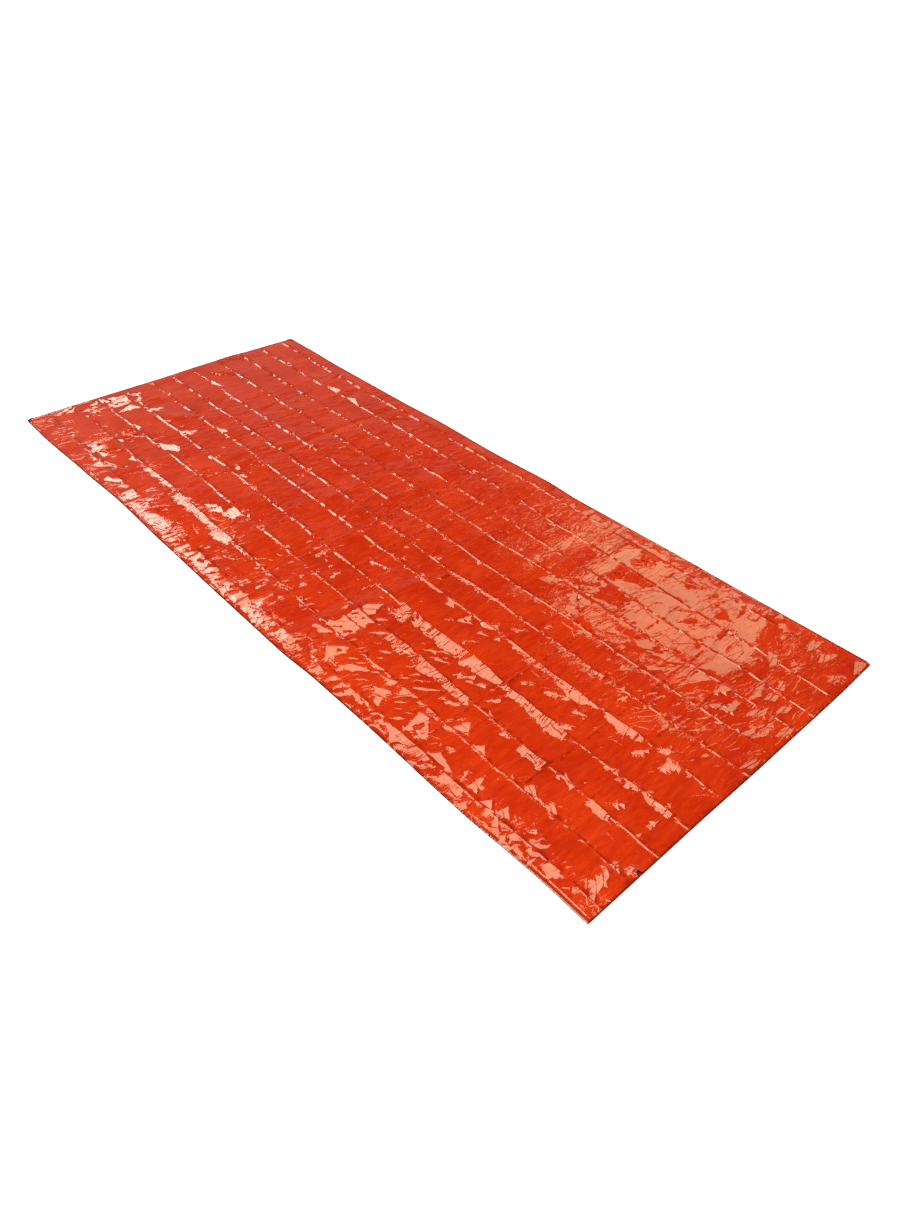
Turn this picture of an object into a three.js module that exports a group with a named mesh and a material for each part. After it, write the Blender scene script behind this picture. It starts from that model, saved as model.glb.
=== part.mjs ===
// Emergency sleeping bag of glossy orange film, opened out of its packet and lying flat.
// A front and a back sheet of film are welded along both long sides and the foot, and the mouth is free.
// The front sheet keeps the packet's folds: long creases from foot to mouth and shorter cross folds.
// Millimetres, +Z up. "across" runs from the left long side to the right one, "along" from foot to mouth.

import * as THREE from 'three';

// Driving dimensions
const WIDTH = 910;
const LENGTH = 2130;
const FILM = 1; // thickness of one sheet
const CLEARANCE = 0.3; // gap between neighbouring pieces
const WELD_BAND = 10; // flat welded border along the long sides and the foot
const WELD_FADE = 26; // the folds reach their full rise this far inside the border
const CORNER_PULL = 4; // how far each corner of the outline is drawn in
const TAB_LEG = 20; // short sides of a black corner tab
const TAB_INSET = 0.5; // the tab stays this far inside the outline
const TAB_THICK = 1;

// Long creases from left to right: their place across at the foot, half way and the mouth, and their rise there
const CREASES = [
  { foot: 62, half: 43, mouth: 35, riseFoot: 0.8, riseHalf: 2.6, riseMouth: 3.4 },
  { foot: 141, half: 127, mouth: 107, riseFoot: 1.6, riseHalf: 5.2, riseMouth: 3.6 },
  { foot: 217, half: 208, mouth: 181, riseFoot: 4.6, riseHalf: 4.2, riseMouth: 4.0 },
  { foot: 299, half: 290, mouth: 267, riseFoot: 4.8, riseHalf: 4.0, riseMouth: 4.2 },
  { foot: 388, half: 384, mouth: 366, riseFoot: 3.6, riseHalf: 4.8, riseMouth: 3.8 },
  { foot: 459, half: 454, mouth: 448, riseFoot: 3.2, riseHalf: 4.2, riseMouth: 4.6 },
  { foot: 530, half: 531, mouth: 522, riseFoot: 3.4, riseHalf: 4.4, riseMouth: 3.2 },
  { foot: 625, half: 620, mouth: 614, riseFoot: 3.8, riseHalf: 4.6, riseMouth: 3.0 },
  { foot: 706, half: 703, mouth: 677, riseFoot: 3.4, riseHalf: 4.8, riseMouth: 2.8 },
  { foot: 782, half: 787, mouth: 752, riseFoot: 4.2, riseHalf: 5.2, riseMouth: 3.0 },
  { foot: 864, half: 865, mouth: 860, riseFoot: 3.0, riseHalf: 3.0, riseMouth: 2.4 },
];
const CREST_HALF = 8; // half width of a crease's sharp crest
const CREST_SHARE = 0.45; // share of a crease's rise that is in its crest, the rest is a broad shoulder
const SHOULDER = 36; // half width of that shoulder
const CREASE_WAVE = 290; // length of the slow swell along a crease
const CREASE_SWELL = 0.3; // share of the rise that swells

// Cross folds: place along the bag, where they start and end across it, and their rise
const CROSS_FOLDS = [
  { along: 367, from: 285, to: 710, rise: 1.4 },
  { along: 459, from: 545, to: 640, rise: 1.8 },
  { along: 760, from: 620, to: 850, rise: 1.6 },
  { along: 961, from: 380, to: 535, rise: 2.0 },
  { along: 1058, from: 40, to: 865, rise: 2.6 },
  { along: 1159, from: 370, to: 810, rise: 1.8 },
  { along: 1511, from: 600, to: 860, rise: 2.2 },
  { along: 1670, from: 20, to: 860, rise: 2.6 },
  { along: 1873, from: 120, to: 760, rise: 2.4 },
  { along: 1957, from: 400, to: 620, rise: 2.4 },
];
const CROSS_HALF = 48; // half width of a cross fold
const CROSS_END = 40; // a cross fold dies out over this length at its ends

// Soft folds that slant over the grid: start, end, half width and rise
const SOFT_FOLDS = [
  { fromAcross: 50, fromAlong: 1272, toAcross: 390, toAlong: 1325, half: 45, rise: 2.8 },
  { fromAcross: 300, fromAlong: 1910, toAcross: 420, toAlong: 1960, half: 50, rise: 2.0 },
  { fromAcross: 560, fromAlong: 1640, toAcross: 700, toAlong: 1580, half: 45, rise: 2.0 },
  { fromAcross: 600, fromAlong: 1945, toAcross: 710, toAlong: 1963, half: 48, rise: 2.6 },
  { fromAcross: 710, fromAlong: 1963, toAcross: 890, toAlong: 1890, half: 48, rise: 2.6 },
  { fromAcross: 300, fromAlong: 215, toAcross: 390, toAlong: 330, half: 40, rise: 2.2 },
];

// Places where the free edge of the front sheet stands off the back sheet at the mouth
const MOUTH_LIFTS = [
  { across: 133, half: 24, rise: 3.4 },
  { across: 300, half: 60, rise: 0.8 },
  { across: 500, half: 70, rise: 1.0 },
  { across: 655, half: 45, rise: 1.6 },
  { across: 815, half: 50, rise: 1.2 },
];
const MOUTH_REACH = 75; // how far a lift runs back from the mouth

// Slow swells of the whole sheet: wavelengths, phase and rise
const SWELLS = [
  { across: 420, along: 530, phase: 0.6, rise: 0.7 },
  { across: 260, along: -340, phase: 2.1, rise: 0.5 },
];

// How far each side of the outline stands out from the plain rectangle
const LEFT_OUT = [
  { at: 0, out: 2 }, { at: 140, out: 4.5 }, { at: 380, out: 0 }, { at: 560, out: -4.5 },
  { at: 800, out: 0.5 }, { at: 1090, out: 3.5 }, { at: 1293, out: 4.5 }, { at: 1420, out: -1 },
  { at: 1570, out: -2 }, { at: 1830, out: 1 }, { at: 2030, out: -4 }, { at: 2130, out: -2 },
];
const RIGHT_OUT = [
  { at: 0, out: 7 }, { at: 110, out: 6 }, { at: 280, out: 1 }, { at: 600, out: 0 }, { at: 770, out: 4 },
  { at: 1000, out: -1 }, { at: 1200, out: 4 }, { at: 1320, out: -3 }, { at: 1620, out: -2 },
  { at: 1830, out: -5 }, { at: 2130, out: -6 },
];
const FOOT_OUT = [
  { at: 0, out: 0 }, { at: 200, out: 2 }, { at: 400, out: 3 }, { at: 560, out: 8 }, { at: 670, out: 12 },
  { at: 760, out: 6 }, { at: 910, out: 2 },
];
const MOUTH_OUT = [
  { at: 0, out: -1 }, { at: 240, out: 0 }, { at: 520, out: 3 }, { at: 760, out: 4 }, { at: 910, out: 2 },
];

const ROW_STEP = 75; // the widest spacing of the front sheet's rows

const ORANGE_FILM = new THREE.MeshStandardMaterial({ color: 0xd0300a, roughness: 0.22, metalness: 0 });
const BLACK_TAB = new THREE.MeshStandardMaterial({ color: 0x14110e, roughness: 0.6, metalness: 0 });

// A smooth step from 0 to 1 as value goes from start to end
function ease(value, start, end) {
  return THREE.MathUtils.smoothstep(value, start, end);
}

// A straight-sided peak: 1 at distance 0, and 0 from reach onwards
function peak(distance, reach) {
  return Math.max(0, 1 - Math.abs(distance) / reach);
}

// A rounded hump of the same reach
function hump(distance, reach) {
  return ease(peak(distance, reach), 0, 1);
}

// How far an edge stands out at a place along it, smoothly between the rows of its table
function outAt(rows, at) {
  const next = rows.findIndex((row) => row.at >= at);
  if (next <= 0) return rows[0].out;
  const a = rows[next - 1];
  const b = rows[next];
  return THREE.MathUtils.lerp(a.out, b.out, ease(at, a.at, b.at));
}

// Place across of a crease, on a gentle curve through its three given places
function creaseAcross(crease, along) {
  const t = along / LENGTH;
  return crease.foot * (1 - t) * (1 - 2 * t) + crease.half * 4 * t * (1 - t) + crease.mouth * t * (2 * t - 1);
}

function creaseRise(crease, along) {
  const half = LENGTH / 2;
  const rise = along < half
    ? THREE.MathUtils.lerp(crease.riseFoot, crease.riseHalf, along / half)
    : THREE.MathUtils.lerp(crease.riseHalf, crease.riseMouth, along / half - 1);
  return rise * (1 + CREASE_SWELL * Math.sin((2 * Math.PI * along) / CREASE_WAVE + crease.foot));
}

function creaseRelief(across, along) {
  let tallest = 0;
  for (const crease of CREASES) {
    const distance = across - creaseAcross(crease, along);
    const shape = CREST_SHARE * peak(distance, CREST_HALF) + (1 - CREST_SHARE) * hump(distance, SHOULDER);
    tallest = Math.max(tallest, shape * creaseRise(crease, along));
  }
  return tallest;
}

function crossRelief(across, along) {
  let sum = 0;
  for (const fold of CROSS_FOLDS) {
    const started = ease(across, fold.from - CROSS_END, fold.from);
    const ended = ease(across, fold.to, fold.to + CROSS_END);
    sum += fold.rise * (started - ended) * peak(along - fold.along, CROSS_HALF);
  }
  return sum;
}

function softRelief(across, along) {
  const here = new THREE.Vector3(across, along, 0);
  const nearest = new THREE.Vector3();
  let sum = 0;
  for (const fold of SOFT_FOLDS) {
    const line = new THREE.Line3(
      new THREE.Vector3(fold.fromAcross, fold.fromAlong, 0),
      new THREE.Vector3(fold.toAcross, fold.toAlong, 0),
    );
    line.closestPointToPoint(here, true, nearest);
    sum += fold.rise * hump(here.distanceTo(nearest), fold.half);
  }
  return sum;
}

function mouthRelief(across, along) {
  const towardsMouth = ease(along, LENGTH - MOUTH_REACH, LENGTH);
  let sum = 0;
  for (const lift of MOUTH_LIFTS) {
    sum += lift.rise * towardsMouth * hump(across - lift.across, lift.half);
  }
  return sum;
}

function swellRelief(across, along) {
  let sum = 0;
  for (const swell of SWELLS) {
    const turn = 2 * Math.PI * (across / swell.across + along / swell.along) + swell.phase;
    sum += swell.rise * (0.5 + 0.5 * Math.sin(turn));
  }
  return sum;
}

// Height of the front sheet above its lowest lie, which is nothing on the welded border
function relief(across, along) {
  const inside = Math.min(across, WIDTH - across, along);
  const free = ease(inside, WELD_BAND, WELD_BAND + WELD_FADE);
  const folds = creaseRelief(across, along) + crossRelief(across, along) + softRelief(across, along);
  return free * (folds + mouthRelief(across, along) + swellRelief(across, along));
}

// Place on the floor of a point of the flat sheet, with the outline's unevenness and drawn-in corners
function onFloor(across, along) {
  const left = -outAt(LEFT_OUT, along);
  const right = WIDTH + outAt(RIGHT_OUT, along);
  const foot = -outAt(FOOT_OUT, across);
  const mouth = LENGTH + outAt(MOUTH_OUT, across);
  const place = new THREE.Vector2(
    THREE.MathUtils.lerp(left, right, across / WIDTH),
    -THREE.MathUtils.lerp(foot, mouth, along / LENGTH),
  );
  const atCorner = (across === 0 || across === WIDTH) && (along === 0 || along === LENGTH);
  if (atCorner) {
    place.x += across === 0 ? CORNER_PULL : -CORNER_PULL;
    place.y += along === 0 ? -CORNER_PULL : CORNER_PULL;
  }
  return place;
}

// Rows of the front sheet's grid: its borders, its cross folds, and even steps between them
function gridRows() {
  const fixed = [0, WELD_BAND, ...CROSS_FOLDS.map((fold) => fold.along), LENGTH - MOUTH_REACH, LENGTH];
  const rows = [0];
  for (let i = 1; i < fixed.length; i += 1) {
    const gap = fixed[i] - fixed[i - 1];
    const steps = Math.ceil(gap / ROW_STEP);
    for (let k = 1; k <= steps; k += 1) {
      rows.push(fixed[i - 1] + (gap * k) / steps);
    }
  }
  return rows;
}

// Columns of the grid on one row: the borders, three on each crease, and one between creases
function gridColumns(along) {
  const columns = [0, WELD_BAND];
  CREASES.forEach((crease, i) => {
    const middle = creaseAcross(crease, along);
    if (i > 0) {
      columns.push((creaseAcross(CREASES[i - 1], along) + middle) / 2);
    }
    columns.push(middle - CREST_HALF, middle, middle + CREST_HALF);
  });
  columns.push(WIDTH - WELD_BAND, WIDTH);
  return columns;
}

// Positions round the rim of a grid, in order
function rimOf(rowCount, columnCount) {
  const rim = [];
  for (let c = 0; c < columnCount - 1; c += 1) rim.push([0, c]);
  for (let r = 0; r < rowCount - 1; r += 1) rim.push([r, columnCount - 1]);
  for (let c = columnCount - 1; c > 0; c -= 1) rim.push([rowCount - 1, c]);
  for (let r = rowCount - 1; r > 0; r -= 1) rim.push([r, 0]);
  return rim;
}

const ROWS = gridRows();
const COLUMN_COUNT = gridColumns(0).length;

// The front sheet: a thin shell over the grid, its under face one film thickness below its upper face
function frontSheetGeometry() {
  const lowest = FILM + CLEARANCE;
  const upper = [];
  const under = [];
  for (const along of ROWS) {
    for (const across of gridColumns(along)) {
      const place = onFloor(across, along);
      const height = lowest + relief(across, along);
      upper.push(place.x, place.y, height + FILM);
      under.push(place.x, place.y, height);
    }
  }
  const count = upper.length / 3;
  const at = (row, column) => row * COLUMN_COUNT + column;
  const faces = [];
  for (let r = 0; r < ROWS.length - 1; r += 1) {
    for (let c = 0; c < COLUMN_COUNT - 1; c += 1) {
      const [a, b] = [at(r, c), at(r, c + 1)];
      const [d, e] = [at(r + 1, c), at(r + 1, c + 1)];
      faces.push(a, d, e, a, e, b);
      faces.push(count + a, count + e, count + d, count + a, count + b, count + e);
    }
  }
  const rim = rimOf(ROWS.length, COLUMN_COUNT).map(([r, c]) => at(r, c));
  rim.forEach((here, i) => {
    const next = rim[(i + 1) % rim.length];
    faces.push(here, next, count + next, here, count + next, count + here);
  });
  const geometry = new THREE.BufferGeometry();
  geometry.setAttribute('position', new THREE.Float32BufferAttribute([...upper, ...under], 3));
  geometry.setIndex(faces);
  geometry.computeVertexNormals();
  return geometry;
}

// The back sheet: a flat sheet of the same outline, lying on the floor
function backSheetGeometry() {
  const points = rimOf(ROWS.length, COLUMN_COUNT).map(([r, c]) => onFloor(gridColumns(ROWS[r])[c], ROWS[r]));
  return new THREE.ExtrudeGeometry(new THREE.Shape(points), { depth: FILM, bevelEnabled: false });
}

// A black tab on one corner of the foot: a thin triangle that follows the two edges
function cornerTabGeometry(side) {
  const edge = side < 0 ? 0 : WIDTH;
  const towardsMiddle = -side;
  const corner = onFloor(edge, 0);
  const onFoot = onFloor(edge + towardsMiddle * TAB_LEG, 0);
  const onSide = onFloor(edge, TAB_LEG);
  corner.add(new THREE.Vector2(towardsMiddle * TAB_INSET, -TAB_INSET));
  onFoot.y -= TAB_INSET;
  onSide.x += towardsMiddle * TAB_INSET;
  const shape = new THREE.Shape([corner, onFoot, onSide]);
  return new THREE.ExtrudeGeometry(shape, { depth: TAB_THICK, bevelEnabled: false });
}

function namedMesh(name, geometry, material) {
  const mesh = new THREE.Mesh(geometry, material);
  mesh.name = name;
  return mesh;
}

const backSheet = namedMesh('back_sheet', backSheetGeometry(), ORANGE_FILM);
const frontSheet = namedMesh('front_sheet', frontSheetGeometry(), ORANGE_FILM);
const bag = new THREE.Group();
bag.add(backSheet, frontSheet);
for (const [name, side] of [['corner_tab_left', -1], ['corner_tab_right', 1]]) {
  const tab = namedMesh(name, cornerTabGeometry(side), BLACK_TAB);
  tab.position.z = 2 * (FILM + CLEARANCE);
  bag.add(tab);
}

// The origin is on the floor under the middle of the outline
const middle = new THREE.Box3().setFromObject(bag).getCenter(new THREE.Vector3());
bag.position.set(-middle.x, -middle.y, 0);

export default bag;
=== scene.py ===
"""Looks of an emergency sleeping bag: two sheets of glossy orange film, laid out flat from their packet.

Each film is a thin sheet on the folds of its solid: narrow crests along the packet's long creases, cross
folds, and the flat facets that the film crumples into, placed one by one or in rows. Sizes on the film are in
millimetres: "across" runs from the left long side to the right one, "along" from the closed foot to the open
mouth. A part of the bag is given as left, right, far and near.
"""

import math

import bpy
import numpy as np
from mathutils import Matrix, Vector
from mathutils.geometry import delaunay_2d_cdt


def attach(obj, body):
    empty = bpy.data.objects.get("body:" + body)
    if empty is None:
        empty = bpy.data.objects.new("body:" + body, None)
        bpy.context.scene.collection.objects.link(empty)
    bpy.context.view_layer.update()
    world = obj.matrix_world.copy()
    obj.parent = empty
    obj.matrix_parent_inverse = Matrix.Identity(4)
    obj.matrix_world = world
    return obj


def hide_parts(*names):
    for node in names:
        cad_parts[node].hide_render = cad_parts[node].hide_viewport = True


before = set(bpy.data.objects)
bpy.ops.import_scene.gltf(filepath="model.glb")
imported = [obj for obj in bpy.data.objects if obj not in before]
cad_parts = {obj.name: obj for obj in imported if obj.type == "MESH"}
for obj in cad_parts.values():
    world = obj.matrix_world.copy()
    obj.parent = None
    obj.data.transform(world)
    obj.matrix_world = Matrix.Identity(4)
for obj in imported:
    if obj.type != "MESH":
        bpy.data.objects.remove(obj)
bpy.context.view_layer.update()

MM = 0.001
WIDTH = 910.0
LENGTH = 2130.0

# The film's outline: how far each edge stands out from the plain rectangle, as (place, out)
LEFT_OUT = [(0, 2), (140, 4.5), (380, 0), (560, -4.5), (800, 0.5), (1090, 3.5), (1293, 4.5), (1420, -1),
            (1570, -2), (1830, 1), (2030, -4), (2130, -2)]
RIGHT_OUT = [(0, 7), (110, 6), (280, 1), (600, 0), (770, 4), (1000, -1), (1200, 4), (1320, -3), (1620, -2),
             (1830, -5), (2130, -6)]
FOOT_OUT = [(0, 0), (200, 2), (400, 3), (560, 8), (670, 12), (760, 6), (910, 2)]
MOUTH_OUT = [(0, -1), (240, 0), (520, 3), (760, 4), (910, 2)]
CORNER_RADIUS = {"left_foot": 13.0, "right_foot": 9.0, "left_mouth": 3.0, "right_mouth": 10.0}
OUTLINE_POINTS = 400

# Long creases: place across at the foot, half way and the mouth, and the crest's steepness there, where 1
# mirrors a softbox
CREASES = [
    (62, 43, 35, 0.3, 0.5, 1.0), (141, 127, 107, 0.5, 0.9, 1.0), (217, 208, 181, 1.0, 0.9, 1.0),
    (299, 290, 267, 1.0, 1.0, 0.9), (388, 384, 366, 1.0, 1.0, 0.9), (459, 454, 448, 0.9, 1.0, 1.0),
    (530, 531, 522, 0.9, 1.0, 0.9), (625, 620, 614, 1.0, 1.0, 0.9), (706, 703, 677, 0.9, 1.0, 0.9),
    (782, 787, 752, 1.0, 1.0, 0.9), (864, 865, 860, 0.8, 0.8, 0.7),
]
CREASE_ENDS = (12.0, LENGTH - 2.0)
CREASE_STEP = (8.0, 15.0)
CREASE_MARGIN = 0.3
# Crests: half width by the foot and the mouth, how broken they are there, where along that changes, and where
# they turn from the back softbox to the left one
CREST_WIDTHS = (4.4, 2.8)
CREST_BREAKS = (0.5, 0.22)
CREST_NARROWS = (900.0, 1450.0)
CREST_TURNS = (950.0, 1080.0)
# The right flank's share of the half width, and the least and most of a crest's rise that its breaks leave
CREST_RIGHT = 0.9
CREST_LIMITS = (0.08, 1.7)
# Parts of the creases where the crest runs on unbroken: crease, start and end along
STEADY = [
    (0, 1650, 2128), (1, 1640, 2128), (2, 1660, 2128), (3, 1860, 2128), (4, 1270, 1590), (5, 1270, 1740),
    (6, 1180, 1900), (7, 1280, 1990), (8, 1280, 1960), (9, 1280, 1900), (10, 1300, 1720),
]
STEADY_SHARE = 0.3
# Parts where the crest is too steep to mirror a softbox and shows as a dark line, in the same way
STEEP = [(7, 1480, 1900), (8, 1480, 1900), (9, 1470, 1890), (10, 1450, 1720)]
STEEP_SCALE = 2.1
PANEL_ROWS = 1066

# Cross folds: place along, start and end across, rise
CROSS_FOLDS = [
    (367, 285, 710, 0.4), (459, 545, 640, 0.5), (760, 620, 850, 0.5), (961, 380, 535, 0.6),
    (1058, 40, 865, 0.8), (1159, 370, 810, 0.5), (1511, 600, 860, 0.8), (1670, 20, 860, 0.9),
    (1752, 600, 780, 0.9), (1873, 120, 760, 0.9), (1957, 400, 620, 0.6),
]
CROSS_STEP = (9.0, 15.0)
CROSS_HALF = 3.2
CROSS_CLEAR = 9.0
CROSS_MEAN = 0.7
CROSS_LEAST = 0.1

# Broad folds that slant over the grid: start, end, half width, rise
SOFT_FOLDS = [
    (50, 1272, 390, 1325, 42, 3.3), (420, 900, 560, 885, 40, 1.6), (640, 1010, 770, 990, 40, 1.6),
    (560, 700, 690, 690, 38, 1.2), (330, 560, 450, 550, 38, 1.2), (300, 1910, 420, 1960, 50, 1.4),
    (560, 1640, 700, 1580, 45, 1.2), (600, 1945, 710, 1963, 48, 1.8), (710, 1963, 890, 1890, 48, 1.8),
    (300, 215, 390, 330, 40, 1.4),
]

# The packet's grid of folds: first cross fold, step, unevenness of its knots and how far a panel bulges
LATTICE_START = 57.0
LATTICE_STEP = 101.0
LATTICE_RISE = 1.4
LATTICE_BULGES = (-0.78, 1.3)
# Calmer parts, where the film lies nearly flat, and the share of the unevenness left there
CALM = [(596, 866, 1475, 1915, 0.4), (470, 910, 1940, 2130, 0.35), (-30, 50, 1700, 2160, 0.2),
        (-50, 140, -50, 470, 0.3)]
CALM_FADE = 30.0
# Parts where the fine ripples are weaker, in the same way
SMOOTH = [(-50, 150, -50, 450, 0.25), (150, 960, -50, 330, 0.6), (596, 866, 1475, 1915, 0.6)]

# Facets placed one by one, in groups that face one softbox, or dark ones that face none: each row has the
# place across and along of each corner in turn
FACETS = [
    # the crumpled corner by the foot, tents beside the creases there, and the crumpled panel on the left
    ("back", [
        (67, 34, 140, 2, 104, 24), (100, 38, 138, 20, 128, 32), (142, 57, 206, 46, 172, 65),
        (152, 76, 208, 73, 180, 85), (172, 37, 205, 22, 197, 42), (219, 22, 287, 43, 221, 50),
        (221, 57, 284, 51, 281, 88, 262, 72), (221, 64, 274, 92, 226, 94), (221, 128, 268, 108, 283, 136),
        (299, 46, 330, 52, 312, 68), (292, 98, 317, 76, 307, 97), (293, 184, 304, 169, 334, 182),
        (314, 187, 339, 188, 341, 228), (292, 371, 297, 343, 339, 373), (214, 408, 221, 366, 240, 398),
        (222, 412, 247, 402, 254, 426, 240, 445), (217, 257, 221, 222, 229, 250),
        (384, 431, 389, 392, 404, 429), (526, 142, 534, 122, 542, 182), (787, 428, 793, 378, 809, 424),
        (783, 552, 791, 478, 808, 500), (327, 1180, 333, 1178, 347, 1233), (64, 364, 78, 398, 70, 405),
        (118, 392, 134, 384, 130, 414), (92, 494, 134, 492, 129, 522), (148, 752, 182, 757, 172, 784),
        (166, 792, 207, 778, 204, 818, 176, 822), (153, 717, 180, 744, 166, 746),
    ]),
    # by the foot and half way
    ("dark", [
        (302, 240, 382, 292, 380, 312, 302, 264), (338, 376, 380, 380, 378, 418),
        (152, 244, 206, 240, 207, 300, 154, 306), (68, 250, 128, 246, 126, 330, 72, 338),
        (560, 74, 616, 112, 614, 142), (318, 114, 360, 112, 356, 152),
        (326, 602, 360, 600, 376, 650, 308, 652), (308, 660, 376, 658, 374, 690, 310, 692),
        (796, 664, 852, 656, 848, 710), (540, 714, 610, 722, 606, 780), (716, 866, 776, 862, 770, 944),
    ]),
    # leaves on the left towards the mouth, and tents beside the creases there
    ("left", [
        (123, 1300, 166, 1299, 165, 1350, 125, 1349), (171, 1299, 202, 1300, 201, 1346, 172, 1350),
        (208, 1303, 226, 1302, 253, 1326, 209, 1327), (208, 1340, 287, 1333, 286, 1389),
        (44, 1386, 76, 1350, 108, 1384), (92, 1302, 104, 1280, 117, 1324), (4, 1390, 30, 1387, 26, 1407),
        (54, 1417, 74, 1424, 109, 1486), (124, 1391, 150, 1399, 193, 1431),
        (126, 1440, 162, 1439, 197, 1463), (127, 1482, 150, 1499, 179, 1531),
        (156, 1537, 194, 1527, 196, 1580), (158, 1586, 195, 1586, 192, 1638, 161, 1631),
        (222, 1441, 278, 1474, 280, 1507), (246, 1513, 282, 1511, 281, 1584, 249, 1582),
        (232, 1592, 276, 1590, 272, 1640), (250, 1648, 274, 1646, 268, 1698),
        (218, 1529, 226, 1527, 234, 1561), (46, 1552, 74, 1505, 89, 1537), (4, 1641, 34, 1603, 36, 1631),
        (42, 1635, 96, 1619, 101, 1643), (46, 1664, 92, 1651, 70, 1677), (338, 1465, 376, 1474, 350, 1487),
        (341, 1523, 350, 1525, 353, 1551), (358, 1419, 376, 1396, 378, 1419),
        (42, 1707, 61, 1722, 46, 1771), (44, 1811, 81, 1818, 52, 1829), (40, 1849, 57, 1862, 42, 1875),
        (42, 1885, 69, 1890, 50, 1911), (121, 1691, 153, 1704, 128, 1725),
        (119, 1751, 134, 1764, 120, 1779), (116, 1883, 137, 1886, 120, 1909),
        (114, 1935, 133, 1938, 118, 1957), (124, 1860, 194, 1825, 193, 1864),
        (173, 1937, 186, 1923, 187, 1938), (147, 2022, 174, 1986, 182, 2019),
        (244, 1691, 270, 1683, 272, 1717), (255, 1762, 274, 1759, 274, 1803),
        (243, 1824, 262, 1807, 275, 1835), (280, 1690, 301, 1700, 282, 1717),
        (261, 1943, 271, 1947, 271, 1967), (250, 1972, 272, 1969, 270, 1987),
        (253, 1994, 271, 1992, 269, 2013), (245, 2083, 268, 2041, 271, 2079),
        (319, 1741, 332, 1744, 346, 1779), (323, 1815, 334, 1813, 337, 1841),
        (358, 1723, 378, 1728, 377, 1771), (357, 1781, 377, 1777, 376, 1813),
        (357, 1861, 376, 1856, 375, 1901), (360, 1907, 375, 1905, 373, 1933),
        (311, 1891, 350, 1907, 346, 1939), (334, 2014, 368, 2009, 364, 2039),
        (44, 2094, 99, 2081, 90, 2098, 52, 2105),
    ]),
    # beyond the edge of the pale panels on the right
    ("right", [
        (542, 1600, 608, 1561, 608, 1616, 544, 1618), (576, 1769, 608, 1767, 608, 1871, 586, 1850),
        (541, 1902, 610, 1906, 607, 1939),
    ]),
    # among these panels
    ("dark", [
        (626, 1606, 688, 1602, 690, 1664, 646, 1668), (698, 1470, 764, 1467, 760, 1504, 700, 1504),
        (708, 1574, 764, 1570, 765, 1596, 708, 1597), (738, 1605, 766, 1603, 764, 1662, 740, 1660),
        (790, 1584, 846, 1580, 849, 1616, 814, 1619), (819, 1716, 848, 1709, 844, 1760),
        (779, 1823, 808, 1821, 802, 1862), (626, 1476, 690, 1474, 688, 1504, 628, 1504),
    ]),
    # small ones by the right end of the mouth
    ("right", [
        (577, 1960, 617, 1958, 612, 1985), (539, 1969, 597, 2012, 561, 2017),
        (619, 2020, 657, 2009, 684, 2014, 641, 2030), (684, 2033, 722, 2038, 693, 2052),
        (573, 2038, 593, 2036, 623, 2057, 600, 2063), (629, 2071, 653, 2071, 666, 2087, 642, 2088),
        (526, 2057, 604, 2084, 560, 2096, 534, 2082), (571, 2105, 601, 2104, 619, 2119, 590, 2123),
        (640, 2036, 666, 2034, 674, 2052, 653, 2056), (774, 1963, 776, 1985, 743, 2001, 737, 1990),
        (819, 2053, 855, 2045, 875, 2070, 845, 2065), (837, 2017, 877, 2010, 891, 2028, 849, 2028),
        (779, 2094, 809, 2092, 825, 2106, 802, 2111), (847, 2122, 887, 2103, 905, 2123, 872, 2126),
        (452, 2106, 476, 2105, 494, 2121, 469, 2125), (874, 1889, 901, 1894, 884, 1911),
        (880, 1915, 903, 1918, 890, 1932),
    ]),
]

# Bands of film that lean up to a crease from its left: its number, start and end along, least and most width,
# and the softbox that they face
BANDS = [
    (1, 470, 620, 5, 16, "back"), (1, 620, 900, 10, 30, "back"), (1, 900, 970, 4, 10, "back"),
    (2, 1410, 1475, 10, 32, "left"), (2, 1505, 1660, 16, 40, "left"), (2, 1808, 1868, 6, 22, "left"),
    (2, 1975, 2022, 4, 18, "left"), (3, 1350, 1405, 16, 50, "left"), (3, 1405, 1450, 10, 24, "left"),
    (3, 1450, 1600, 18, 40, "left"), (3, 1600, 1690, 8, 30, "left"), (3, 1690, 1765, 14, 30, "left"),
    (3, 1765, 1850, 8, 28, "left"), (3, 2035, 2090, 6, 18, "left"), (4, 1590, 1700, 4, 13, "left"),
    (4, 1700, 1830, 6, 24, "left"), (4, 1860, 1950, 6, 22, "left"), (5, 1290, 1465, 4, 10, "left"),
    (5, 1740, 1790, 6, 14, "left"),
]
BAND_STEP = (4.0, 10.0)
# A band's width: middle share and how much it strays. Its rise: least and most share of a straight slope
BAND_WIDTH = (0.5, 0.14)
BAND_RISE = (0.95, 1.05)
# Rows of points in a band, as shares of its width, how uneven they are and the dents that they may have
BAND_ROWS = (0.35, 0.68)
BAND_STRAY = 0.05
BAND_DENTS = (0.0, 0.0, 0.0, -0.4)
# How ragged the low edge is, at most and as a share of the width, and the ground that a band takes
BAND_RAGGED = (3.2, 0.3)
BAND_BEYOND = 2.0
BAND_MARGIN = 0.6
# Pinches: share of a band's steps, share of the rise that is left, half width, and the share of a full rise
# below which a pinch gets painted shade
BAND_PINCH = 0.34
BAND_PINCHED = 0.6
PINCH_HALF = 0.9
PINCH_SHADED_BELOW = 0.75

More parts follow.
